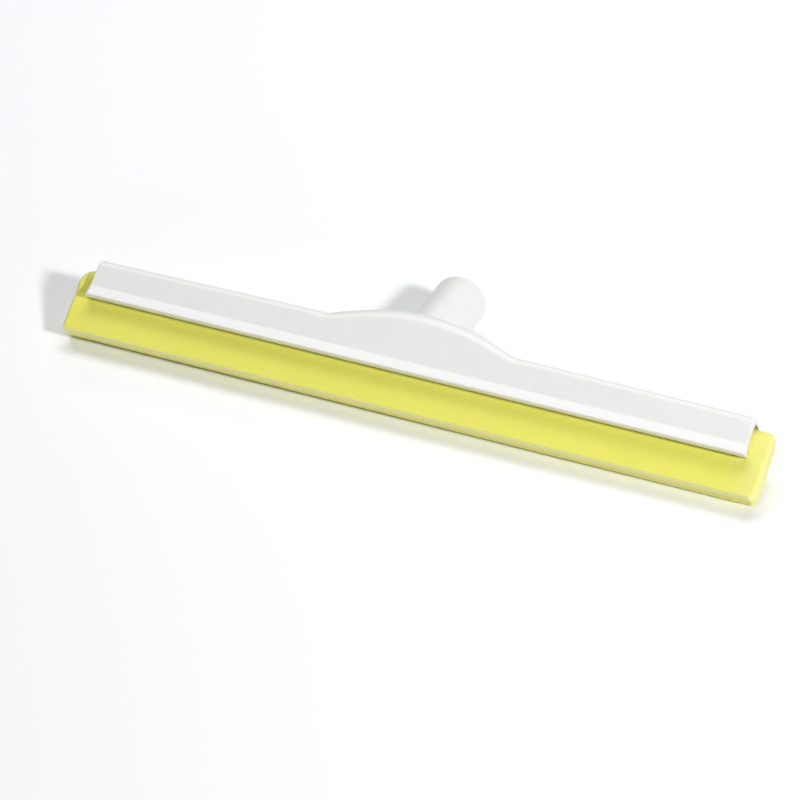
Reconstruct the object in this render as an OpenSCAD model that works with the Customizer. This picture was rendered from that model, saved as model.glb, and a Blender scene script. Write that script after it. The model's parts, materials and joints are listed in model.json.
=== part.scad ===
// Floor squeegee head: a white moulded channel head with a round handle socket, and a folded
// yellow foam blade that slides into the channel from either end over a stiff core strip.
// Millimetres, +Z up. The head lies on its back, as it was photographed: it rests on the rear
// lip of the blade and on the rim of the handle socket, and X runs along the blade.
// Every piece is drawn upright first: X along the blade, Y to the back, Z up from the cut lips.

/* [Foam blade] */
// Length of the folded foam blade
blade_length = 450; // [300:1:750]
// Thickness of the blade across both lips
blade_thickness = 16; // [13:0.5:20]
// Height from the cut lips to the top of the fold
blade_height = 43.5; // [40:0.5:60]
// Slit between the two lips
lip_slit = 0.8; // [0.6:0.1:1.6]
// Rounding of the fold's upper corners, seen from the front
fold_corner_r = 6; // [2:0.5:8]
// Rounding of the lips' lower corners, seen from the front
lip_corner_r = 2; // [0.5:0.5:4]

/* [Channel head] */
// How far the blade sticks out past each end of the head
blade_overhang = 9.7; // [4:0.1:20]
// How far the lips reach below the head
lip_reach = 21.9; // [16:0.1:24]
// Thickness of the channel walls
wall = 6.25; // [4:0.25:8]
// Thickness of the channel roof at the ends of the head
roof = 2.6; // [2:0.1:5]
// How far the foot flares out past the wall
foot_flare = 2.2; // [0.5:0.1:5]
// Height of the flared foot
foot_height = 7.1; // [4:0.1:10]
// Rise of the ridge from the ends of the head to its middle
ridge_rise = 2.2; // [0.5:0.1:5]
// Rounding along the ridge
ridge_r = 5; // [2:0.25:7]
// Slope of the end faces away from square, in degrees
end_draft = 3.6; // [0:0.1:8]
// Rounding of the upper corners of the ends, seen from the front
end_corner_r = 1; // [0.5:0.5:4]
// Rounding inside the channel's upper corners
channel_corner_r = 5; // [2:0.5:7]
// How far each pinch rib reaches into the channel
pinch_depth = 1.4; // [0.8:0.1:2]
// Radius of the pinch ribs
pinch_r = 3.2; // [2.5:0.1:4]
// Height from the head's underside to the pinch ribs
pinch_setback = 0.4; // [0.2:0.1:1.5]

/* [Hump] */
// Width of the hump where it leaves the ridge
hump_width = 122; // [90:1:160]
// Height of the hump above the ridge
hump_height = 13.5; // [8:0.1:18]
// Rounding along the hump
hump_rim_r = 8; // [3:0.25:10]
// How far the hump's faces stand back from the walls
hump_inset = 0.3; // [0.2:0.05:1]

/* [Handle socket] */
// Outer diameter of the socket
socket_d = 34.2; // [31:0.1:40]
// Diameter of the bore that takes the handle
bore_d = 25; // [20:0.1:26]
// Depth of the bore from the rim
bore_depth = 52; // [30:1:54]
// Angle of the socket back from the blade, in degrees
socket_angle = 38.7; // [30:0.1:50]
// Length of the socket along its axis, from the channel roof to the rim
socket_reach = 63.2; // [58:0.1:90]
// Rounding of the socket's outer rim
rim_r = 2; // [0.5:0.1:3]
// Chamfer at the mouth of the bore
mouth_chamfer = 1; // [0.5:0.1:1.5]

/* [Core strip] */
// How far the core strip stops short of each end of the blade
core_recess = 1; // [0:1:30]
// Diameter of the bead along the top of the strip
bead_d = 4.4; // [3:0.1:6]
// Thickness of the strip below the bead
stem_thickness = 2; // [1.2:0.1:2.6]
// Height of the strip from its lower edge to the middle of the bead
stem_height = 12.5; // [8:0.1:14]

/* [Clearances] */
// Sliding gap between the blade and the channel walls
slide_gap = 0.35; // [0.3:0.05:0.6]
// Free height between the fold and the channel roof
fold_gap = 1.5; // [0.5:0.1:3]
// Gap between the core strip and the foam round it
core_gap = 0.3; // [0.3:0.05:0.5]

/* [Hidden] */
$fn = 96;
// How deep overlapping solids run into each other before they are joined
overlap = 1;
// Heights of the upright profile
blade_half = blade_thickness / 2;
fold_z = blade_height - blade_half;
foot_z = lip_reach;
step_z = foot_z + foot_height;
roof_z = blade_height + fold_gap;
ridge_end_z = roof_z + roof;
ridge_mid_z = ridge_end_z + ridge_rise;
// Half widths of the upright profile
channel_half = blade_half + slide_gap;
wall_half = channel_half + wall;
foot_half = wall_half + foot_flare;
hump_half = wall_half - hump_inset;
// How far the foot's slope moves sideways over one overlap in height
foot_run = foot_flare / foot_height * overlap;
// The pinch ribs sit in the foot, just inside the mouth of the channel
pinch_y = channel_half + pinch_r - pinch_depth;
pinch_half = sqrt(pow(pinch_r, 2) - pow(pinch_r - pinch_depth, 2));
pinch_z = foot_z + pinch_setback + pinch_half;
// Lengths of the head
blade_end = blade_length / 2;
head_half = blade_end - blade_overhang;
core_length = blade_length - 2 * core_recess;
end_corner_z = ridge_end_z - end_corner_r;
end_corner_x = head_half - (end_corner_z - foot_z) * tan(end_draft) - end_corner_r;
// The ridge falls from the middle to both ends, and the hump is an arc over the middle of it
ridge_pitch = atan(ridge_rise / head_half);
arm_depth = ridge_mid_z - foot_z + ridge_rise;
arm_spare = arm_depth * sin(ridge_pitch) + overlap;
hump_half_length = hump_width / 2;
hump_edge_z = ridge_mid_z - hump_half_length * tan(ridge_pitch);
hump_top_z = hump_edge_z + hump_height;
hump_bend_r = (pow(hump_half_length, 2) + pow(hump_height, 2)) / (2 * hump_height);
hump_half_angle = asin((hump_half_length + ridge_r) / hump_bend_r);
hump_depth = hump_height + ridge_rise + 2 * ridge_r;
// The socket's axis leaves the blade's mid plane at the channel roof
socket_r = socket_d / 2;
bore_r = bore_d / 2;
socket_start = (wall_half - wall / 2 - socket_r * cos(socket_angle)) / sin(socket_angle);
rim_y = socket_reach * sin(socket_angle);
rim_z = roof_z + socket_reach * cos(socket_angle);
// The floor touches the rear lip's edge and the round of the socket's rim
rest_y = rim_y - rim_r * sin(socket_angle) + (socket_r - rim_r) * cos(socket_angle) - blade_half;
rest_z = rim_z - rim_r * cos(socket_angle) - (socket_r - rim_r) * sin(socket_angle);
floor_angle = atan2(rest_y, rest_z) + asin(rim_r / norm([rest_y, rest_z]));
lean = 90 - floor_angle;
lift = blade_half * sin(lean);
// The footprint runs from the front lip's edge to the far side of the socket's rim
front_y = -blade_half * cos(lean);
tip_angle = socket_angle + lean;
tip_y = rim_y * cos(lean) + rim_z * sin(lean);
back_y = tip_y + rim_r * (1 - sin(tip_angle)) - (socket_r - rim_r) * cos(tip_angle);
centre_y = (front_y + back_y) / 2;

// Lays an upright piece on its back on the floor, with the origin under the middle
module at_rest() {
    translate([0, -centre_y, lift])
        rotate([-lean, 0, 0])
            children();
}

// Runs an upright (Y, Z) section along X, centred on the middle of the head
module along_blade(length) {
    rotate([90, 0, 90])
        linear_extrude(height = length, center = true)
            children();
}

// Runs a front view (X, Z) through the whole depth of the head
module through_head() {
    rotate([90, 0, 0])
        linear_extrude(height = 4 * foot_half, center = true)
            children();
}

// A bar's section with its two top corners rounded: the top lies on the X axis
module bar_section(half, depth, rim) {
    translate([rim - half, -depth])
        square([2 * (half - rim), depth]);
    translate([-half, -depth])
        square([2 * half, depth - rim]);
    for (side = [-1, 1])
        translate([side * (half - rim), -rim])
            circle(r = rim);
}

// One arm from the middle of the head outwards, still closed, with its ridge falling to the end:
// a bar longer than the arm at both ends, cut square in the middle of the head
module arm() {
    intersection() {
        translate([0, 0, ridge_mid_z])
            rotate([0, ridge_pitch, 0])
                translate([head_half / 2, 0, 0])
                    along_blade(head_half + 2 * arm_spare)
                        bar_section(wall_half, arm_depth, ridge_r);
        translate([0, -foot_half, 0])
            cube([blade_length, 2 * foot_half, 2 * ridge_mid_z]);
    }
}

// The flared foot along both walls, drawn a little past both of its edges
module foot() {
    along_blade(2 * (head_half + overlap))
        polygon([
            [-foot_half - foot_run, foot_z - overlap],
            [foot_half + foot_run, foot_z - overlap],
            [wall_half - foot_run, step_z + overlap],
            [foot_run - wall_half, step_z + overlap]
        ]);
}

// A front view that slopes the head's ends and rounds their upper corners
module head_outline() {
    polygon([
        [-head_half, foot_z],
        [head_half, foot_z],
        [end_corner_x + end_corner_r, end_corner_z],
        [-end_corner_x - end_corner_r, end_corner_z]
    ]);
    translate([-end_corner_x, foot_z])
        square([2 * end_corner_x, roof_z + hump_height]);
    for (side = [-1, 1])
        translate([side * end_corner_x, end_corner_z])
            circle(r = end_corner_r);
}

// The hump over the middle of the ridge: a bar bent about an axis along Y
module hump() {
    translate([0, 0, hump_top_z - hump_bend_r])
        rotate([90, 0, 0])
            rotate([0, 0, 90 - hump_half_angle])
                rotate_extrude(angle = 2 * hump_half_angle, $fn = 360)
                    translate([hump_bend_r, 0])
                        rotate(-90)
                            bar_section(hump_half, hump_depth, hump_rim_r);
}

// Places its children on the socket's axis, with Z out of the mouth and zero at the channel roof
module on_socket_axis() {
    translate([0, 0, roof_z])
        rotate([-socket_angle, 0, 0])
            children();
}

// The socket's outside, kept behind the front wall
module socket_body() {
    intersection() {
        on_socket_axis()
            rotate_extrude() {
                translate([0, socket_start])
                    square([socket_r, socket_reach - socket_start - rim_r]);
                translate([0, socket_start])
                    square([socket_r - rim_r, socket_reach - socket_start]);
                translate([socket_r - rim_r, socket_reach - rim_r])
                    circle(r = rim_r);
            }
        translate([-socket_d, overlap - wall_half, 0])
            cube([2 * socket_d, 2 * wall_half + 2 * socket_reach, 2 * (roof_z + socket_reach)]);
    }
}

// The blind bore for the handle, with a chamfered mouth
module handle_bore() {
    on_socket_axis()
        translate([0, 0, socket_reach - bore_depth])
            cylinder(h = bore_depth + overlap, r = bore_r);
    on_socket_axis()
        translate([0, 0, socket_reach - mouth_chamfer])
            cylinder(h = 2 * mouth_chamfer, r1 = bore_r, r2 = bore_r + 2 * mouth_chamfer);
}

// The open-ended channel, with a pinch rib along each side of its mouth
module channel() {
    along_blade(2 * head_half + 4 * overlap)
        difference() {
            union() {
                translate([-channel_half, foot_z - overlap])
                    square([2 * channel_half, roof_z - channel_corner_r - foot_z + overlap]);
                translate([channel_corner_r - channel_half, foot_z - overlap])
                    square([2 * (channel_half - channel_corner_r), roof_z - foot_z + overlap]);
                for (side = [-1, 1])
                    translate([side * (channel_half - channel_corner_r), roof_z - channel_corner_r])
                        circle(r = channel_corner_r);
            }
            for (side = [-1, 1])
                translate([side * pinch_y, pinch_z])
                    circle(r = pinch_r);
        }
}

// White moulded head: channel arms, hump and handle socket in one piece
module head_frame() {
    color("whitesmoke")
        at_rest()
            difference() {
                union() {
                    intersection() {
                        union() {
                            arm();
                            mirror([1, 0, 0])
                                arm();
                            foot();
                        }
                        through_head()
                            head_outline();
                    }
                    hump();
                    socket_body();
                }
                channel();
                handle_bore();
            }
}

// Section of the folded foam sheet: two lips, a round fold, and room for the core strip
module blade_section() {
    difference() {
        union() {
            translate([-blade_half, 0])
                square([blade_thickness, fold_z]);
            translate([0, fold_z])
                circle(r = blade_half);
        }
        translate([-lip_slit / 2, -overlap])
            square([lip_slit, fold_z + overlap]);
        translate([0, fold_z])
            circle(d = bead_d + 2 * core_gap);
        translate([-stem_thickness / 2 - core_gap, fold_z - stem_height - core_gap])
            square([stem_thickness + 2 * core_gap, stem_height + core_gap]);
        for (side = [-1, 1])
            translate([side * pinch_y, pinch_z])
                circle(r = pinch_r + slide_gap);
    }
}

// Front view of the blade, with rounded corners
module blade_outline() {
    translate([-blade_end, lip_corner_r])
        square([blade_length, blade_height - fold_corner_r - lip_corner_r]);
    translate([lip_corner_r - blade_end, 0])
        square([blade_length - 2 * lip_corner_r, blade_height / 2]);
    translate([fold_corner_r - blade_end, blade_height / 2])
        square([blade_length - 2 * fold_corner_r, blade_height / 2]);
    for (side = [-1, 1]) {
        translate([side * (blade_end - lip_corner_r), lip_corner_r])
            circle(r = lip_corner_r);
        translate([side * (blade_end - fold_corner_r), blade_height - fold_corner_r])
            circle(r = fold_corner_r);
    }
}

// Yellow closed-cell foam sheet, folded once over the core strip
module foam_blade() {
    color("khaki")
        at_rest()
            intersection() {
                along_blade(blade_length)
                    blade_section();
                through_head()
                    blade_outline();
            }
}

// Stiff plastic strip with a beaded edge, hidden in the fold
module core_strip() {
    color("gainsboro")
        at_rest()
            along_blade(core_length) {
                translate([0, fold_z])
                    circle(d = bead_d);
                translate([-stem_thickness / 2, fold_z - stem_height])
                    square([stem_thickness, stem_height]);
            }
}

head_frame();
foam_blade();
core_strip();
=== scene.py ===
# %% [markdown]
# # A floor squeegee with a folded foam blade
#
# The tool is a white moulded head, a yellow foam blade that slides into the head's channel, and a
# hidden plastic strip that the foam is folded over. It lies on its back, resting on the blade's
# rear lip and on the rim of the handle socket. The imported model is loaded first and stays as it
# is; the pieces made below stand for its solids and move with its bodies.

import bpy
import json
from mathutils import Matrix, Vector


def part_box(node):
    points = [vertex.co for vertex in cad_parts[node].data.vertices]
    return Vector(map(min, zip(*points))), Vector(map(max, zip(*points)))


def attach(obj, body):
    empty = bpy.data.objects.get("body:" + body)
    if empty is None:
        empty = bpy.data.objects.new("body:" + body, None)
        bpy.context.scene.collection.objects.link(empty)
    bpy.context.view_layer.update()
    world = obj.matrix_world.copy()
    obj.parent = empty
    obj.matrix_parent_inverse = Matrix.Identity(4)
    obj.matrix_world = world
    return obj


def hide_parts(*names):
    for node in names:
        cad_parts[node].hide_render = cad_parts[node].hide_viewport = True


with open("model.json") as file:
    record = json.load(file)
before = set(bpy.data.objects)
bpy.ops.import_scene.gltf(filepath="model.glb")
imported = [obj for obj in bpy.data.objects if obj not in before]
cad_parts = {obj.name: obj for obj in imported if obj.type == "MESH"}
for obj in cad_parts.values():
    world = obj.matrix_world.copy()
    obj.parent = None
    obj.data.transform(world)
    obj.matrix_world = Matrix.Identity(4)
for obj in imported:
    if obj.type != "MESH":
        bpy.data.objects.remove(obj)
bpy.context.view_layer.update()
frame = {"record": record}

# %% [markdown]
# ## Two ways of looking at one tool
#
# A profile is easiest to draw with the tool upright: X along the blade, Y to the back, Z up from
# the cut lips, in millimetres. The model itself lies on its back, in metres. One function carries
# every drawn point from the first to the second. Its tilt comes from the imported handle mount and
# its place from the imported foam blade, so the pieces land exactly on the solids.

# %% From the upright drawing to the lying tool
import json
import math

import bmesh
import bpy
from mathutils import Quaternion, Vector, noise
from mathutils.bvhtree import BVHTree

SOCKET_ANGLE = math.radians(38.7)
BLADE_HALF = 8.0
mount_axis = frame["record"]["mounts"][0]["axis"]
lean = math.atan2(mount_axis[1], mount_axis[2]) - SOCKET_ANGLE
lift = BLADE_HALF * math.sin(lean)
centre_y = -BLADE_HALF * math.cos(lean) - 1000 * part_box("foam_blade")[0].y


def laid(point):
    """Carries an upright point in millimetres to the lying tool in metres."""
    x, y, z = point
    back = y * math.cos(lean) + z * math.sin(lean) - centre_y
    up = z * math.cos(lean) - y * math.sin(lean) + lift
    return Vector((x, back, up)) / 1000


print("the tool leans back by", round(math.degrees(lean), 3), "degrees")

# %% [markdown]
# ## Materials
#
# Each finish starts from the real stuff and how its surface was made. Colours are written as the
# sRGB hex values that an eye would read off the object, and one function turns them to the linear
# values that a shader works with. A second small function adds a node, sets it and links it.

# %% Two helpers for shaders
def linear(hex_colour):
    """Turns an sRGB hex colour to linear red, green, blue and alpha."""
    channels = [int(hex_colour[i:i + 2], 16) / 255 for i in (1, 3, 5)]
    return [c / 12.92 if c <= 0.04045 else ((c + 0.055) / 1.055) ** 2.4 for c in channels] + [1.0]


def add_node(material, kind, inputs=None, **settings):
    """Adds one node: settings go on the node, inputs are values or the sockets to link from."""
    made = material.node_tree.nodes.new(kind)
    for name, value in settings.items():
        setattr(made, name, value)
    for name, value in (inputs or {}).items():
        if isinstance(value, bpy.types.NodeSocket):
            material.node_tree.links.new(value, made.inputs[name])
        else:
            made.inputs[name].default_value = value
    return made


def new_material(name):
    """An empty node material and its output node."""
    material = bpy.data.materials.new(name)
    material.use_nodes = True
    material.node_tree.nodes.clear()
    return material, add_node(material, "ShaderNodeOutputMaterial")


def per_mm(size):
    """Texture scale, in repeats per metre, of a pattern whose cells are this many millimetres."""
    return 1000 / size


# %% [markdown]
# ### White polypropylene, injection moulded
#
# Moulded polypropylene is an opaque, slightly waxy white. The mould is lightly spark textured, so
# the gloss is broken by a grain of about a tenth of a millimetre, and the skin cools unevenly,
# which leaves a faint swell over the thick places. A noise for each gives the bump, and a slow
# noise moves the roughness so that highlights are not ruled lines.

# %% Moulded white polypropylene
white_pp, output = new_material("polypropylene_white_moulded")
place = add_node(white_pp, "ShaderNodeTexCoord")
# The grain is drawn at 0.6 mm, coarser than the real 0.1 mm, so that it shows at all
grain = add_node(white_pp, "ShaderNodeTexNoise",
                 {"Vector": place.outputs["Object"], "Scale": per_mm(0.6), "Detail": 2.0})
swell = add_node(white_pp, "ShaderNodeTexNoise",
                 {"Vector": place.outputs["Object"], "Scale": per_mm(28), "Detail": 1.0})
handling = add_node(white_pp, "ShaderNodeTexNoise",
                    {"Vector": place.outputs["Object"], "Scale": per_mm(9), "Detail": 4.0})
roughness = add_node(white_pp, "ShaderNodeMapRange",
                     {"Value": handling.outputs["Fac"], "From Min": 0.3, "From Max": 0.7,
                      "To Min": 0.34, "To Max": 0.44})
shade = add_node(white_pp, "ShaderNodeMix",
                 {0: handling.outputs["Fac"], 6: linear("#e7e7e5"), 7: linear("#ececea")},
                 data_type="RGBA")
swell_bump = add_node(white_pp, "ShaderNodeBump",
                      {"Height": swell.outputs["Fac"], "Strength": 0.25, "Distance": 0.0004})
grain_bump = add_node(white_pp, "ShaderNodeBump",
                      {"Height": grain.outputs["Fac"], "Strength": 0.12, "Distance": 0.00005,
                       "Normal": swell_bump.outputs["Normal"]})
skin = add_node(white_pp, "ShaderNodeBsdfPrincipled",
                {"Base Color": shade.outputs[2], "Roughness": roughness.outputs["Result"],
                 "IOR": 1.49, "Subsurface Weight": 0.15, "Subsurface Radius": (1.0, 1.0, 1.0),
                 "Subsurface Scale": 0.0012, "Normal": grain_bump.outputs["Normal"]})
white_pp.node_tree.links.new(skin.outputs["BSDF"], output.inputs["Surface"])
print("made", white_pp.name)

# %% [markdown]
# ### Yellow closed-cell foam, skinned and cut
#
# The blade is cut from a sheet of closed-cell rubber foam. Its two faces keep the smooth skin that
# formed against the press: a clear, matte yellow with the faintest orange-peel. Where the knife
# went through, at the lips and the ends, the cells lie open: paler, rougher and finely pitted.
# The mesh's border value, 0 on the skin and 1 on a cut face, blends the two. On the blade the
# same value also carries painted light: near the right end the skin is blended partway to the
# paler cut colour, where the key light falls hardest.

# %% Skinned and cut yellow foam
yellow_foam, output = new_material("closed_cell_foam_yellow_skinned")
place = add_node(yellow_foam, "ShaderNodeTexCoord")
# This value marks the cut faces, and also painted light at the blade's right end
cut_and_painted_light = add_node(yellow_foam, "ShaderNodeAttribute", attribute_name="border")
# Cells of 0.3 mm are drawn at 0.9 mm so that they show from where the camera stands
cells = add_node(yellow_foam, "ShaderNodeTexVoronoi",
                 {"Vector": place.outputs["Object"], "Scale": per_mm(0.9)})
peel = add_node(yellow_foam, "ShaderNodeTexNoise",
                {"Vector": place.outputs["Object"], "Scale": per_mm(1.6), "Detail": 3.0})
cloud = add_node(yellow_foam, "ShaderNodeTexNoise",
                 {"Vector": place.outputs["Object"], "Scale": per_mm(40), "Detail": 3.0})
skin_colour = add_node(yellow_foam, "ShaderNodeMix",
                       {0: cloud.outputs["Fac"], 6: linear("#e8e362"), 7: linear("#ede96c")},
                       data_type="RGBA")
# The paler cut colour also serves as painted light on the skin near the blade's right end
cut_and_painted_light_colour = add_node(yellow_foam, "ShaderNodeMix",
                      {0: cells.outputs["Distance"], 6: linear("#e9e596"), 7: linear("#f1eda6")},
                      data_type="RGBA")
colour = add_node(yellow_foam, "ShaderNodeMix",
                  {0: cut_and_painted_light.outputs["Fac"], 6: skin_colour.outputs[2], 7: cut_and_painted_light_colour.outputs[2]},
                  data_type="RGBA")
relief = add_node(yellow_foam, "ShaderNodeMix",
                  {0: cut_and_painted_light.outputs["Fac"], 2: peel.outputs["Fac"], 3: cells.outputs["Distance"]})
foam_bump = add_node(yellow_foam, "ShaderNodeBump",
                     {"Height": relief.outputs[0], "Strength": 0.35, "Distance": 0.00012})
roughness = add_node(yellow_foam, "ShaderNodeMapRange",
                     {"Value": cut_and_painted_light.outputs["Fac"], "To Min": 0.62, "To Max": 0.85})
skin = add_node(yellow_foam, "ShaderNodeBsdfPrincipled",
                {"Base Color": colour.outputs[2], "Roughness": roughness.outputs["Result"],
                 "IOR": 1.45, "Subsurface Weight": 0.2, "Subsurface Radius": (1.0, 0.9, 0.35),
                 "Subsurface Scale": 0.002, "Normal": foam_bump.outputs["Normal"]})
yellow_foam.node_tree.links.new(skin.outputs["BSDF"], output.inputs["Surface"])
print("made", yellow_foam.name)

# %% [markdown]
# ### Natural polypropylene, extruded
#
# The strip inside the fold is extruded without pigment. It is milky and lets light in, so it takes
# on the yellow of the foam wrapped round it, and that is the colour it gets here. An extrusion die
# leaves fine lines that run the whole length of the strip. A noise stretched along X gives them.

# %% Extruded natural polypropylene
natural_pp, output = new_material("polypropylene_natural_extruded")
place = add_node(natural_pp, "ShaderNodeTexCoord")
stretched = add_node(natural_pp, "ShaderNodeMapping",
                     {"Vector": place.outputs["Object"], "Scale": (0.01, 1.0, 1.0)})
die_lines = add_node(natural_pp, "ShaderNodeTexNoise",
                     {"Vector": stretched.outputs["Vector"], "Scale": per_mm(0.5), "Detail": 2.0})
die_bump = add_node(natural_pp, "ShaderNodeBump",
                    {"Height": die_lines.outputs["Fac"], "Strength": 0.3, "Distance": 0.00005})
shade = add_node(natural_pp, "ShaderNodeMix",
                 {0: die_lines.outputs["Fac"], 6: linear("#e2df84"), 7: linear("#e8e590")},
                 data_type="RGBA")
skin = add_node(natural_pp, "ShaderNodeBsdfPrincipled",
                {"Base Color": shade.outputs[2], "Roughness": 0.32, "IOR": 1.49,
                 "Subsurface Weight": 0.5, "Subsurface Radius": (1.0, 1.0, 0.9),
                 "Subsurface Scale": 0.003, "Normal": die_bump.outputs["Normal"]})
natural_pp.node_tree.links.new(skin.outputs["BSDF"], output.inputs["Surface"])
print("made", natural_pp.name)

# %% [markdown]
# ## A folded sheet with thickness
#
# Seen from its end, the head's channel and the foam blade are the same kind of thing: a thick
# sheet bent over into a U that hangs upside down, with an outside, an inside, two open ends and
# two lower edges. A solid with booleans and a bevel would make both, but bevels fail where faces
# meet at shallow angles. Here both are woven as one grid instead: the outside, the inside, and a
# rim of a few rounded rows that runs round the border and joins them into one closed skin.

# %% Weave the outside, the inside and the rounded border
class FoldedSheet:
    """Grid of an upside-down U along X, drawn upright in millimetres.

    along lists the stations, from -1 at the left end to 1 at the right. outside(u) and inside(u)
    give the section at a station from front to back, and reach(u, z) how far an end lies from the
    middle at a height. foot is the height of the lower edges, and hollow is how much higher they
    lie inside. edges holds the roundings of the front edge, the ends and the inside, rear_edge(u)
    that of the rear edge. rows counts the steps across the border's flat. cuts says how far the
    front, rear and end borders are cut faces, which each point keeps in a value named border.
    """

    def __init__(self, along, outside, inside, reach, foot, hollow, edges, rear_edge, rows, cuts):
        self.mesh = bmesh.new()
        self.along, self.reach, self.foot, self.hollow = along, reach, foot, hollow
        self.edges, self.rear_edge, self.rows, self.cuts = edges, rear_edge, rows, cuts
        self.marks = self.mesh.verts.layers.float.new("border")
        self.outer = [self.section(u, outside(u), edges["end"]) for u in along]
        self.inner = [self.section(u, inside(u), edges["inside"]) for u in along]
        for grid in (self.outer, self.inner):
            for near, far in zip(grid, grid[1:]):
                self.strip(near, far)
        self.border()

    def section(self, u, points, edge):
        """A row of points across the sheet, stopping short of the end by its rounding."""
        return [self.mesh.verts.new((u * (self.reach(u, z) - edge), y, z)) for y, z in points]

    def strip(self, near, far):
        """Faces between two rows of points."""
        for a, b, c, d in zip(near, near[1:], far[1:], far):
            self.mesh.faces.new((a, b, c, d))

    def border(self):
        """Rounded rows from the outside to the inside, all the way round the sheet's edge."""
        last = len(self.along) - 1
        rear = len(self.outer[0]) - 1
        walk = [(i, 0) for i in range(last)] + [(last, j) for j in range(rear)]
        walk += [(i, rear) for i in range(last, 0, -1)] + [(0, j) for j in range(rear, 0, -1)]
        rings = [self.border_ring(i, j, last, rear) for i, j in walk]
        for ring, following in zip(rings, rings[1:] + rings[:1]):
            self.strip(ring, following)

    def border_ring(self, i, j, last, rear):
        """One row of points across the border, from the outside's edge to the inside's."""
        near, far = self.outer[i][j], self.inner[i][j]
        length = (far.co - near.co).length
        if j == 0:
            outer_r, mark = self.edges["front"], self.cuts["front"]
        elif j == rear:
            outer_r, mark = self.rear_edge(self.along[i]), self.cuts["rear"]
        else:
            outer_r, mark = self.edges["end"], self.cuts["end"]
        inner_r = self.edges["inside"]
        # Each step: distance from the outside, depth in parts of the rounding, share of a cut face
        turns = [math.radians(turn) for turn in (22.5, 45, 67.5, 90)]
        steps = [(outer_r * (1 - math.cos(a)), 1 - math.sin(a), math.sin(a)) for a in turns]
        flat = length - outer_r - inner_r
        steps += [(outer_r + flat * k / self.rows, 0.0, 1.0) for k in range(1, self.rows)]
        steps += [(length - inner_r * (1 - math.cos(a)), 1 - math.sin(a), 1.0) for a in turns[::-2]]
        ring = [near]
        for number, (distance, depth, turned) in enumerate(steps):
            outside_half = number < len(turns) + self.rows - 1
            lower_r = outer_r if outside_half else inner_r
            end_r = self.edges["end"] if outside_half else inner_r
            x, y, z = near.co.lerp(far.co, distance / length)
            if j in (0, rear):
                z = self.foot + depth * lower_r + self.hollow * distance / length
            if i in (0, last):
                side = -1 if i == 0 else 1
                x = side * (self.reach(side, z) - depth * end_r)
            made = self.mesh.verts.new((x, y, z))
            made[self.marks] = turned * mark
            ring.append(made)
        return ring + [far]


# %% [markdown]
# ## The head's channel
#
# The head is one moulding. Its long channel has thick walls that flare into a foot, a ridge that
# rises a little towards the middle and a hump over the middle that carries the handle socket. The
# upper edges are rounded, more generously on the hump. Each section below is drawn from these
# sizes, so the hump's fillets and the changing rounding come from the drawing itself.

# %% Sizes of the head, in millimetres
FOOT_END, STEP_END, RIDGE_END = 215.4, 214.1, 213.5
FOOT_Z, STEP_Z, ROOF_Z, RIDGE_Z, RIDGE_MID_Z = 21.9, 29.0, 45.8, 47.6, 49.8
CHANNEL_HALF, WALL_HALF, FOOT_HALF = 8.35, 14.6, 16.8
RIDGE_R, HUMP_RIM_R, CHANNEL_R = 5.0, 8.0, 5.0
END_CORNER_R, FOOT_CORNER_R, FOOT_PLAN_R = 1.0, 0.9, 1.2
PINCH_R, PINCH_DEPTH, PINCH_Z = 3.2, 0.6, 24.946
HUMP_HALF_LENGTH, HUMP_HEIGHT, HUMP_FILLET_R = 61.0, 13.5, 10.0
HEAD_EDGES, FOOT_HOLLOW = {"front": 0.8, "end": 0.7, "inside": 0.25}, 0.8
# A moulding has no cut faces
HEAD_CUTS = {"front": 0.0, "rear": 0.0, "end": 0.0}
# The flare eases into the wall by these small steps, out and up from the corner
STEP_EASE = [(0.07, -0.12), (0.02, 0.15), (0.0, 0.5)]
# The hump's wider rounding fades to the ridge's over this length, up to this far off the middle
RIM_FADE, RIM_FADE_END = 34.0, 76.0
RIDGE_FALL = (RIDGE_MID_Z - RIDGE_Z) / RIDGE_END
hump_bend_r = (HUMP_HALF_LENGTH ** 2 + HUMP_HEIGHT ** 2) / (2 * HUMP_HEIGHT)
hump_centre_z = RIDGE_MID_Z - HUMP_HALF_LENGTH * RIDGE_FALL + HUMP_HEIGHT - hump_bend_r


# %% The outline of the head, seen from the front
def ridge_line(x):
    """Height of the ridge at x: it falls evenly from the middle to both ends."""
    return RIDGE_MID_Z - abs(x) * RIDGE_FALL


# The ridge falls, so the fillet's middle is guessed and then found closer at each pass
fillet_x = HUMP_HALF_LENGTH + HUMP_FILLET_R / 2
for _ in range(4):
    fillet_z = ridge_line(fillet_x) + HUMP_FILLET_R
    fillet_x = math.sqrt((hump_bend_r + HUMP_FILLET_R) ** 2 - (fillet_z - hump_centre_z) ** 2)
hump_x = fillet_x * hump_bend_r / (hump_bend_r + HUMP_FILLET_R)


def head_top(x):
    """Height of the head's top at x: the hump's arc, a hollow fillet, then the falling ridge."""
    x = abs(x)
    if x < hump_x:
        return hump_centre_z + math.sqrt(hump_bend_r ** 2 - x ** 2)
    if x < fillet_x:
        return fillet_z - math.sqrt(HUMP_FILLET_R ** 2 - (fillet_x - x) ** 2)
    return ridge_line(x)


def corner_pull(depth, radius):
    """How far a rounded corner draws back, this deep into the height of its rounding."""
    depth = min(max(depth, 0.0), radius)
    return radius - math.sqrt(radius ** 2 - depth ** 2)


def head_reach(u, z):
    """Half length of the head at a height: the foot flares at the ends too."""
    height = min(z, RIDGE_Z)
    if height < STEP_Z:
        reach = FOOT_END + (STEP_END - FOOT_END) * (height - FOOT_Z) / (STEP_Z - FOOT_Z)
    else:
        reach = STEP_END + (RIDGE_END - STEP_END) * (height - STEP_Z) / (RIDGE_Z - STEP_Z)
    reach -= corner_pull(height - RIDGE_Z + END_CORNER_R, END_CORNER_R)
    return reach - corner_pull(FOOT_Z + FOOT_CORNER_R - height, FOOT_CORNER_R)


print("the hump's fillets lie", round(hump_x, 1), "to", round(fillet_x, 1), "mm off the middle")


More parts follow.
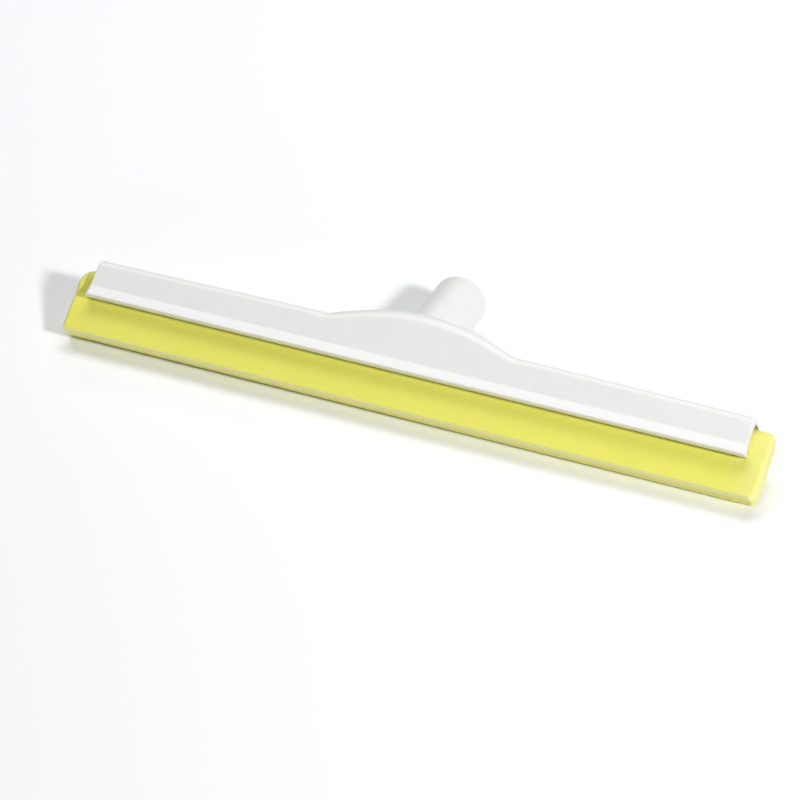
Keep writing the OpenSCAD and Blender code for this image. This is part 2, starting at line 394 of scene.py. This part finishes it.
# %% Sections of the head
def arc(centre, radius, start, end, count):
    """Points of an arc in the (Y, Z) section, angles in degrees from +Y towards +Z."""
    angles = [math.radians(start + (end - start) * k / (count - 1)) for k in range(count)]
    return [(centre[0] + radius * math.cos(a), centre[1] + radius * math.sin(a)) for a in angles]


def both_sides(half):
    """Mirrors the rear half of a section, drawn from its lower edge to the middle, to the front."""
    return [(-y, z) for y, z in half] + half[-2::-1]


def smooth(t):
    """Eases from 0 to 1 while t goes from 0 to 1, and stays level outside that."""
    t = min(max(t, 0.0), 1.0)
    return t * t * (3 - 2 * t)


def head_outside(u):
    """The head's outer skin: flared foot, wall, rounded upper edge and flat top."""
    x = u * (RIDGE_END - END_CORNER_R)
    top = head_top(x)
    rim = RIDGE_R + (HUMP_RIM_R - RIDGE_R) * smooth((RIM_FADE_END - abs(x)) / RIM_FADE)
    foot_half = FOOT_HALF - corner_pull(FOOT_PLAN_R - (1 - abs(u)) * FOOT_END, FOOT_PLAN_R)
    edge = HEAD_EDGES["front"] / (STEP_Z - FOOT_Z)
    slope = [(foot_half + (WALL_HALF - foot_half) * t, FOOT_Z + (STEP_Z - FOOT_Z) * t)
             for t in (edge, 0.45, 0.7, 0.93)]
    step = [(WALL_HALF + out, STEP_Z + up) for out, up in STEP_EASE]
    low = step[-1][1]
    wall = [(WALL_HALF, low + (top - rim - low) * t) for t in (0.2, 0.45, 0.7, 0.9)]
    round_over = arc((WALL_HALF - rim, top - rim), rim, 0, 90, 13)
    flat = [((WALL_HALF - rim) * t, top) for t in (0.66, 0.33, 0.0)]
    return both_sides(slope + step + wall + round_over + flat)


def head_inside(u):
    """The channel's inner skin, the same all along: mouth, pinch rib, wall and rounded roof."""
    turn = math.degrees(math.acos(1 - PINCH_DEPTH / PINCH_R))
    mouth = [(CHANNEL_HALF, FOOT_Z + FOOT_HOLLOW + HEAD_EDGES["inside"])]
    rib = arc((CHANNEL_HALF + PINCH_R - PINCH_DEPTH, PINCH_Z), PINCH_R, 180 + turn, 180 - turn, 7)
    shoulder_z = ROOF_Z - CHANNEL_R
    wall = [(CHANNEL_HALF, rib[-1][1] + (shoulder_z - rib[-1][1]) * t) for t in (0.25, 0.5, 0.75)]
    round_over = arc((CHANNEL_HALF - CHANNEL_R, shoulder_z), CHANNEL_R, 0, 90, 13)
    flat = [((CHANNEL_HALF - CHANNEL_R) * t, ROOF_Z) for t in (0.66, 0.33, 0.0)]
    return both_sides(mouth + rib + wall + round_over + flat)


# %% Weave the head's channel
HUMP_STEP, ARM_STEP, HUMP_SPAN = 2.0, 7.0, 84.0
HEAD_END_STEPS = (3.5, 1.8, 0.9, 0.3, 0)


def mirrored(half):
    """Stations along the whole length from those of the right half, which start at the middle."""
    return [-u for u in half[:0:-1]] + half


arm = RIDGE_END - HUMP_SPAN
arm_count = round(arm / ARM_STEP)
stations = [k * HUMP_STEP / RIDGE_END for k in range(int(HUMP_SPAN / HUMP_STEP))]
stations += [(HUMP_SPAN + arm * k / arm_count) / RIDGE_END for k in range(arm_count)]
stations += [1 - off / RIDGE_END for off in HEAD_END_STEPS]
head = FoldedSheet(mirrored(stations), head_outside, head_inside, head_reach, foot=FOOT_Z,
                   hollow=FOOT_HOLLOW, edges=HEAD_EDGES, rear_edge=lambda u: HEAD_EDGES["front"],
                   rows=4, cuts=HEAD_CUTS)
print("channel of", len(head.mesh.faces), "faces")

# %% [markdown]
# ## The handle socket
#
# The socket is a straight tube that grows out of the hump at an angle, with a small moulded fillet
# where the two meet. A boolean union would leave a hard line there. Seen along the socket's axis,
# though, the hump under it is a simple height field, so the fillet can be laid out in rings: rays
# shot down the axis find the hump, the rings stand a quarter circle above it, and the hole left in
# the hump is stitched to the outermost ring by walking round both in step.

# %% Sizes of the socket, and rays down its axis
AXIS_Z, SOCKET_R, SOCKET_REACH, SOCKET_RIM_R = 45.0, 17.1, 63.2, 2.0
BORE_R, BORE_DEPTH, BORE_CHAMFER, BORE_FLOOR_R = 12.5, 52.0, 1.0, 1.0
SOCKET_FILLET, FRONT_LIMIT, HOLE_MARGIN = 2.6, 18.9, 0.2
SPOKES = 120
axis = Vector((0, math.sin(SOCKET_ANGLE), math.cos(SOCKET_ANGLE)))
backward = Vector((0, math.cos(SOCKET_ANGLE), -math.sin(SOCKET_ANGLE)))
axis_start = Vector((0, 0, AXIS_Z))


def round_socket(radius, angle, height):
    """A point off the socket's axis: the angle runs from the front of the tool."""
    across = Vector((math.sin(angle), 0, 0)) - backward * math.cos(angle)
    return axis_start + across * radius + axis * height


bmesh.ops.recalc_face_normals(head.mesh, faces=head.mesh.faces)
head.mesh.normal_update()
outer_ids = {v: k for k, v in enumerate(v for row in head.outer for v in row)}
outer_faces = [f for f in head.mesh.faces if all(v in outer_ids for v in f.verts)]
hump_skin = BVHTree.FromPolygons([v.co.copy() for v in outer_ids],
                                 [[outer_ids[v] for v in f.verts] for f in outer_faces])


def skin_height(radius, angle):
    """How far along the socket's axis the head's skin lies, at this place round the axis."""
    hit = hump_skin.ray_cast(round_socket(radius, angle, 2 * SOCKET_REACH), -axis)[0]
    return (hit - axis_start).dot(axis)


def fillet_radius(angle):
    """The fillet narrows at the front, where the socket almost reaches the hump's edge."""
    facing = math.cos(angle)
    room = FRONT_LIMIT / facing - SOCKET_R if facing > 0.1 else SOCKET_FILLET
    return min(SOCKET_FILLET, room)


# %% Rings of the fillet, the tube, its rim and its bore
angles = [2 * math.pi * k / SPOKES for k in range(SPOKES)]


def ring_at(place):
    """A ring of points: place gives radius and height at an angle."""
    return [head.mesh.verts.new(round_socket(*place(a))) for a in angles]


def fillet_ring(turn):
    """Where the fillet's ring lies after this turn, from flat on the hump to up along the tube."""
    def place(angle):
        size = fillet_radius(angle)
        radius = SOCKET_R + size * (1 - math.sin(turn))
        return radius, angle, skin_height(radius, angle) + size * (1 - math.cos(turn))
    return place


TUBE_TOP = SOCKET_REACH - SOCKET_RIM_R
rings = [ring_at(fillet_ring(math.radians(turn))) for turn in range(0, 91, 15)]
tube_foot = {a: skin_height(SOCKET_R, a) + fillet_radius(a) for a in angles}
for t in (0.1, 0.25, 0.5, 0.75, 1.0):
    rings.append(ring_at(lambda a: (SOCKET_R, a, tube_foot[a] + (TUBE_TOP - tube_foot[a]) * t)))
lathe = arc((SOCKET_R - SOCKET_RIM_R, TUBE_TOP), SOCKET_RIM_R, 15, 90, 6)
mouth_r = BORE_R + BORE_CHAMFER
chamfer_z = SOCKET_REACH - BORE_CHAMFER
bore_floor = SOCKET_REACH - BORE_DEPTH
# Small steps break both edges of the chamfer
lathe += [(mouth_r + 0.3, SOCKET_REACH), (mouth_r, SOCKET_REACH - 0.12)]
lathe += [(BORE_R + 0.12, chamfer_z + 0.05), (BORE_R, chamfer_z - 0.25)]
lathe += [(BORE_R, bore_floor + BORE_DEPTH * t) for t in (0.7, 0.4, 0.15)]
lathe += arc((BORE_R - BORE_FLOOR_R, bore_floor + BORE_FLOOR_R), BORE_FLOOR_R, 0, -90, 4)
lathe += [(BORE_R * t, bore_floor) for t in (0.6, 0.3)]
rings += [ring_at(lambda a: (radius, a, height)) for radius, height in lathe]
for near, far in zip(rings, rings[1:]):
    head.strip(near + near[:1], far + far[:1])
hub = head.mesh.verts.new(round_socket(0, 0, bore_floor))
for a, b in zip(rings[-1], rings[-1][1:] + rings[-1][:1]):
    head.mesh.faces.new((a, b, hub))
print("socket of", len(rings), "rings")

# %% Open the hump under the socket and stitch the two together
def off_axis(co):
    """Distance from the socket's axis and angle round it."""
    across = co - axis_start
    back = across.dot(backward)
    return math.hypot(across.x, back), math.atan2(across.x, -back) % (2 * math.pi)


def under_socket(vert):
    """Whether the fillet covers this point of the hump, or passes closer than the margin."""
    radius, angle = off_axis(vert.co)
    facing = vert.normal.dot(axis) > 0
    return facing and radius < SOCKET_R + fillet_radius(angle) + HOLE_MARGIN


buried = [f for f in outer_faces if any(under_socket(v) for v in f.verts)]
bmesh.ops.delete(head.mesh, geom=buried, context="FACES")
hole = [v for v in head.mesh.verts if v in outer_ids and v.is_boundary]
hole.sort(key=lambda v: off_axis(v.co)[1])
print("the hole under the socket has", len(hole), "corners")


def stitch(ring, edge):
    """Joins two loops that run round the socket's axis, always stepping on the one that lags."""
    ring_turns = [2 * math.pi * k / len(ring) for k in range(len(ring) + 1)]
    edge_turns = [off_axis(v.co)[1] for v in edge]
    edge_turns += [edge_turns[0] + 2 * math.pi]
    i = j = 0
    while i < len(ring) or j < len(edge):
        a, b = ring[i % len(ring)], edge[j % len(edge)]
        if j == len(edge) or (i < len(ring) and ring_turns[i + 1] < edge_turns[j + 1]):
            head.mesh.faces.new((a, b, ring[(i + 1) % len(ring)]))
            i += 1
        else:
            head.mesh.faces.new((a, b, edge[(j + 1) % len(edge)]))
            j += 1


stitch(rings[0], hole)


# %% [markdown]
# ### From the drawing to an object
#
# Every piece ends the same way: loose points go, the faces are turned outwards, the points are
# laid down where the tool lies, and hard corners are marked so that the rest shades smoothly. The
# weighted normals modifier lets big flat faces rule the shading of their small rounded edges.

# %% Finish a piece
def finished(drawing, name, material, sharp_degrees):
    """Turns an upright drawing in millimetres into a smooth-shaded object of the lying tool."""
    loose = [v for v in drawing.verts if not v.link_faces]
    bmesh.ops.delete(drawing, geom=loose, context="VERTS")
    bmesh.ops.recalc_face_normals(drawing, faces=drawing.faces)
    for vert in drawing.verts:
        vert.co = laid(vert.co)
    for edge in drawing.edges:
        edge.smooth = edge.is_manifold and edge.calc_face_angle() < math.radians(sharp_degrees)
    for face in drawing.faces:
        face.smooth = True
    open_edges = sum(not e.is_manifold for e in drawing.edges)
    print(name, "has", len(drawing.faces), "faces and", open_edges, "open edges")
    mesh = bpy.data.meshes.new(name)
    drawing.to_mesh(mesh)
    drawing.free()
    mesh.materials.append(material)
    piece = bpy.data.objects.new(name, mesh)
    bpy.context.scene.collection.objects.link(piece)
    shading = piece.modifiers.new("flat_faces_lead", "WEIGHTED_NORMAL")
    shading.keep_sharp = True
    return piece


channel_head = finished(head.mesh, "channel_head", white_pp, sharp_degrees=50)
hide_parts("head_frame")
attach(channel_head, "head")

# %% [markdown]
# ## The foam blade
#
# A strip of foam is folded once over its core, so it has a round fold at the top, two leaves with
# a slit between them, and two cut lips below. The channel's ribs pinch a crease into both faces.
# Foam is never quite straight: the front leaf wanders by a few tenths of a millimetre along its
# lip, where nothing holds it. The ends are cut by hand, each a little differently. The rear lip
# is worn rounder towards the left, so that a dark gap opens over the floor there. Towards the
# right end the skin is painted paler: painted light, where the key light falls hardest.

# %% Sizes and sections of the foam blade
BLADE_END, FOLD_Z, BLADE_HEIGHT = 225.0, 35.5, 43.5
SLIT_HALF, BEAD_ROOM, STEM_ROOM, STEM_FOOT_Z = 0.12, 2.24, 1.04, 22.95
LEFT_FOLD_R, RIGHT_FOLD_R = 12.0, 3.5
LEFT_LIP_R, RIGHT_LIP_R = 1.2, 3.0
LEFT_BULGE, RIGHT_BULGE, BULGE_Z, BULGE_HALF = 0.2, 1.4, 22.0, 24.0
CREASE_HALF, CREASE_DEPTH, CREASE_AT_END = 5.0, 0.95, 0.7
FOAM_EDGES = {"front": 0.6, "end": 2.0, "inside": 0.1}
FOAM_CUTS = {"front": 1.0, "rear": 0.4, "end": 1.0}
REAR_WORN_LEFT, REAR_WORN_RIGHT = 6.0, 0.6
# The leaves are free below this height, and from there down the slit bends back
FREE_Z, SLIT_BACK, SLIT_BEND = 20.0, 1.6, 12.0
# The crease eases off from just inside the head's end
END_LEAD, END_EASE = 4.0, 12.0
# Each drift of the front leaf: how far, how often along the blade, and where the noise is read
DRIFTS = ((0.4, 5.0, 3.1), (0.1, 17.0, 8.7))
# Painted light: the skin is painted paler by this much at most, from this far right of the
# middle and over this length
PAINTED_LIGHT_MOST, PAINTED_LIGHT_START, PAINTED_LIGHT_LENGTH = 0.45, 204.0, 20.0


def rear_edge(u):
    """Rounding of the rear lip, worn more towards the left end."""
    return REAR_WORN_LEFT + (REAR_WORN_RIGHT - REAR_WORN_LEFT) * (u + 1) / 2


def blade_reach(u, z):
    """Half length of the blade at a height: hand cut ends, so each has its own bulge and corner."""
    left, right = (LEFT_BULGE, LEFT_FOLD_R, LEFT_LIP_R), (RIGHT_BULGE, RIGHT_FOLD_R, RIGHT_LIP_R)
    bulge, fold_r, lip_r = left if u < 0 else right
    reach = BLADE_END + bulge * (1 - ((z - BULGE_Z) / BULGE_HALF) ** 4)
    reach -= corner_pull(z - BLADE_HEIGHT + fold_r, fold_r)
    return reach - corner_pull(lip_r - z, lip_r)


def wander(u, section):
    """Lets the free front leaf drift a little, while the rear leaf stays straight."""
    drift = sum(far * noise.noise(Vector((u * often, at, 0.0))) for far, often, at in DRIFTS)
    moved = []
    for y, z in section:
        low, fore = (FREE_Z - z) / FREE_Z, (BLADE_HALF - y) / (2 * BLADE_HALF)
        moved.append((y + drift * smooth(low) * smooth(fore), z))
    return moved


def creased(u, y, z):
    """Draws the face in where the head's ribs pinch it: less so where the blade's end is free."""
    free = smooth((abs(u) * BLADE_END - STEP_END + END_LEAD) / END_EASE)
    depth = CREASE_DEPTH + (CREASE_AT_END - CREASE_DEPTH) * free
    near = min(abs(z - PINCH_Z) / CREASE_HALF, 1.0)
    return y - depth * math.cos(near * math.pi / 2) ** 2, z


def outer_leaf(u, low):
    """Half of the outer skin, from its lower edge up to the top of the fold."""
    crease_low, crease_top = PINCH_Z - CREASE_HALF, PINCH_Z + CREASE_HALF
    heights = [low + (crease_low - low) * t for t in (0, 0.1, 0.25, 0.45, 0.65, 0.85)]
    heights += [PINCH_Z + CREASE_HALF * t / 5 for t in range(-5, 6)]
    heights += [crease_top + (FOLD_Z - crease_top) * t for t in (0.3, 0.7)]
    half = [(BLADE_HALF, z) for z in heights] + arc((0, FOLD_Z), BLADE_HALF, 0, 90, 14)
    return [creased(u, y, z) for y, z in half]


def blade_outside(u):
    """The outer skin: the rear leaf starts higher than the front one, by its wider rounding."""
    front, rear = outer_leaf(u, FOAM_EDGES["front"]), outer_leaf(u, rear_edge(u))
    return wander(u, [(-y, z) for y, z in front] + rear[-2::-1])


def blade_inside(u):
    """The inner skin: the slit between the leaves, then the room for the strip's stem and bead."""
    neck_z = FOLD_Z - math.sqrt(BEAD_ROOM ** 2 - STEM_ROOM ** 2)
    low = FOAM_EDGES["inside"]
    slit = [(SLIT_HALF, low + (STEM_FOOT_Z - low) * t)
            for t in (0, 0.1, 0.25, 0.4, 0.55, 0.7, 0.85, 0.95, 1)]
    stem = [(STEM_ROOM, STEM_FOOT_Z + (neck_z - STEM_FOOT_Z) * t)
            for t in (0, 0.05, 0.2, 0.35, 0.5, 0.65, 0.8, 0.95)]
    start = math.degrees(math.atan2(neck_z - FOLD_Z, STEM_ROOM))
    section = both_sides(slit + stem + arc((0, FOLD_Z), BEAD_ROOM, start, 90, 16))
    return wander(u, [(y + SLIT_BACK * smooth((FREE_Z - z) / SLIT_BEND), z) for y, z in section])


# %% Weave the foam blade
BLADE_STEP = 5.0
BLADE_END_STEPS = (2.4, 1.0, 0.3, 0)
blade_count = round(BLADE_END / BLADE_STEP)
stations = [k / blade_count for k in range(blade_count)]
stations += [1 - off / BLADE_END for off in BLADE_END_STEPS]
blade = FoldedSheet(mirrored(stations), blade_outside, blade_inside, blade_reach, foot=0.0,
                    hollow=0.0, edges=FOAM_EDGES, rear_edge=rear_edge, rows=5, cuts=FOAM_CUTS)
# Painted light: the skin near the right end turns partway to the paler cut colour
for vert in blade.mesh.verts:
    painted_light = PAINTED_LIGHT_MOST * smooth((vert.co.x - PAINTED_LIGHT_START) / PAINTED_LIGHT_LENGTH)
    vert[blade.marks] = max(vert[blade.marks], painted_light)
foam_blade = finished(blade.mesh, "folded_foam_blade", yellow_foam, sharp_degrees=50)
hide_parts("foam_blade")
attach(foam_blade, "blade")

# %% [markdown]
# ## The core strip
#
# The strip inside the fold is an extrusion: a flat stem with a bead along its upper edge. It is
# hidden at rest and slides out of the foam's end when the blade is changed. A drawn section swept
# along X, with its ends drawn in a little, is all it needs.

# %% Draw and sweep the core strip
CORE_LEFT, CORE_RIGHT = -223.3, 226.1
CORE_BODY, CORE_STEP = 200, 20
BEAD_R, STEM_HALF, STEM_LOW_Z, CORE_EDGE = 2.2, 1.0, 23.0, 0.15
join = math.degrees(math.asin(STEM_HALF / BEAD_R))
core_section = arc((0, FOLD_Z), BEAD_R, join - 90, 270 - join, 25)
core_section += arc((CORE_EDGE - STEM_HALF, STEM_LOW_Z + CORE_EDGE), CORE_EDGE, 180, 270, 4)
core_section += arc((STEM_HALF - CORE_EDGE, STEM_LOW_Z + CORE_EDGE), CORE_EDGE, 270, 360, 4)
core = bmesh.new()


def core_row(x, shrink):
    """The strip's section at x, drawn in by this many millimetres towards its spine."""
    points = []
    for y, z in core_section:
        spine = Vector((0, min(max(z, STEM_LOW_Z + STEM_HALF), FOLD_Z)))
        away = Vector((y, z)) - spine
        points.append(spine + away * (1 - shrink / away.length))
    return [core.verts.new((x, p.x, p.y)) for p in points]


profile = [(0, CORE_EDGE), (0.05, 0.05), (CORE_EDGE, 0.0)]
rows = [core_row(CORE_LEFT + off, shrink) for off, shrink in profile]
rows += [core_row(x, 0.0) for x in range(-CORE_BODY, CORE_BODY + 1, CORE_STEP)]
rows += [core_row(CORE_RIGHT - off, shrink) for off, shrink in profile[::-1]]
for near, far in zip(rows, rows[1:]):
    for a, b, c, d in zip(near, near[1:] + near[:1], far[1:] + far[:1], far):
        core.faces.new((a, b, c, d))
core.faces.new(rows[0])
core.faces.new(rows[-1][::-1])
core_strip = finished(core, "core_strip_beaded", natural_pp, sharp_degrees=60)
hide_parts("core_strip")
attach(core_strip, "core")

# %% [markdown]
# ## Floor, light and camera
#
# The tool lies on a white studio floor. Two shadows show how it is lit: a crisp one falls to the
# left and back, so the key light is small and stands to the right and in front; a softer one falls
# just forward of the lip, so a broad softbox hangs overhead and a little behind. That softbox is
# also what the foot of the head reflects. A strip low behind draws the sheen along the socket, and
# a weak fill in front opens the shade under the foot. The surroundings stay dim, or the shadows
# would wash out. The camera stands far off with a long lens, to the right of the blade's front.

# %% A white studio floor
paper, output = new_material("studio_paper_white_matte")
sheet = add_node(paper, "ShaderNodeBsdfPrincipled",
                 {"Base Color": linear("#fbfcfe"), "Roughness": 0.9, "Specular IOR Level": 0.1})
paper.node_tree.links.new(sheet.outputs["BSDF"], output.inputs["Surface"])
FLOOR_HALF = 6.0
corners = [(FLOOR_HALF * x, FLOOR_HALF * y, 0) for x, y in ((-1, -1), (1, -1), (1, 1), (-1, 1))]
floor_mesh = bpy.data.meshes.new("studio_floor")
floor_mesh.from_pydata(corners, [], [(0, 1, 2, 3)])
floor_mesh.materials.append(paper)
studio_floor = bpy.data.objects.new("studio_floor", floor_mesh)
bpy.context.scene.collection.objects.link(studio_floor)

# %% Soft studio light
surroundings = bpy.data.worlds.new("white_studio")
surroundings.use_nodes = True
sky = surroundings.node_tree.nodes["Background"]
sky.inputs["Color"].default_value = linear("#fafcff")
sky.inputs["Strength"].default_value = 0.08
bpy.context.scene.world = surroundings
bpy.context.scene.view_settings.view_transform = "Standard"


def soft_light(name, place, width, depth, power):
    """A rectangular area light at a place, turned to the tool."""
    lamp = bpy.data.lights.new(name, "AREA")
    lamp.shape = "RECTANGLE"
    lamp.size, lamp.size_y, lamp.energy = width, depth, power
    stand = bpy.data.objects.new(name, lamp)
    stand.location = place
    stand.rotation_euler = (-Vector(place)).to_track_quat("-Z", "Y").to_euler()
    bpy.context.scene.collection.objects.link(stand)


soft_light("key_softbox", (1.87, -0.86, 1.59), 0.28, 0.28, 45)
soft_light("overhead_softbox", (-0.35, 0.78, 1.8), 2.2, 0.8, 25.5)
soft_light("back_strip", (-0.5, 1.9, 1.35), 1.0, 0.3, 5)
soft_light("front_fill", (0.2, -2.2, 0.5), 1.2, 0.6, 6)

# %% The camera
AIM = Vector((0.0, -0.04731, 0.01605))
ELEVATION, AZIMUTH, ROLL = [math.radians(angle) for angle in (41.521, 24.830, -3.181)]
DISTANCE, LENS, SENSOR = 2.24684, 167.94, 36.0
level = math.cos(ELEVATION)
away = Vector((level * math.sin(AZIMUTH), -level * math.cos(AZIMUTH), math.sin(ELEVATION)))
lens = bpy.data.cameras.new("camera")
lens.lens, lens.sensor_width, lens.sensor_fit = LENS, SENSOR, "HORIZONTAL"
lens.clip_start, lens.clip_end = 0.05, 50
camera = bpy.data.objects.new("camera", lens)
camera.location = AIM + away * DISTANCE
turned = (-away).to_track_quat("-Z", "Y") @ Quaternion((0, 0, 1), ROLL)
camera.rotation_euler = turned.to_euler()
bpy.context.scene.collection.objects.link(camera)
bpy.context.scene.camera = camera
print("camera at", [round(c, 3) for c in camera.location])
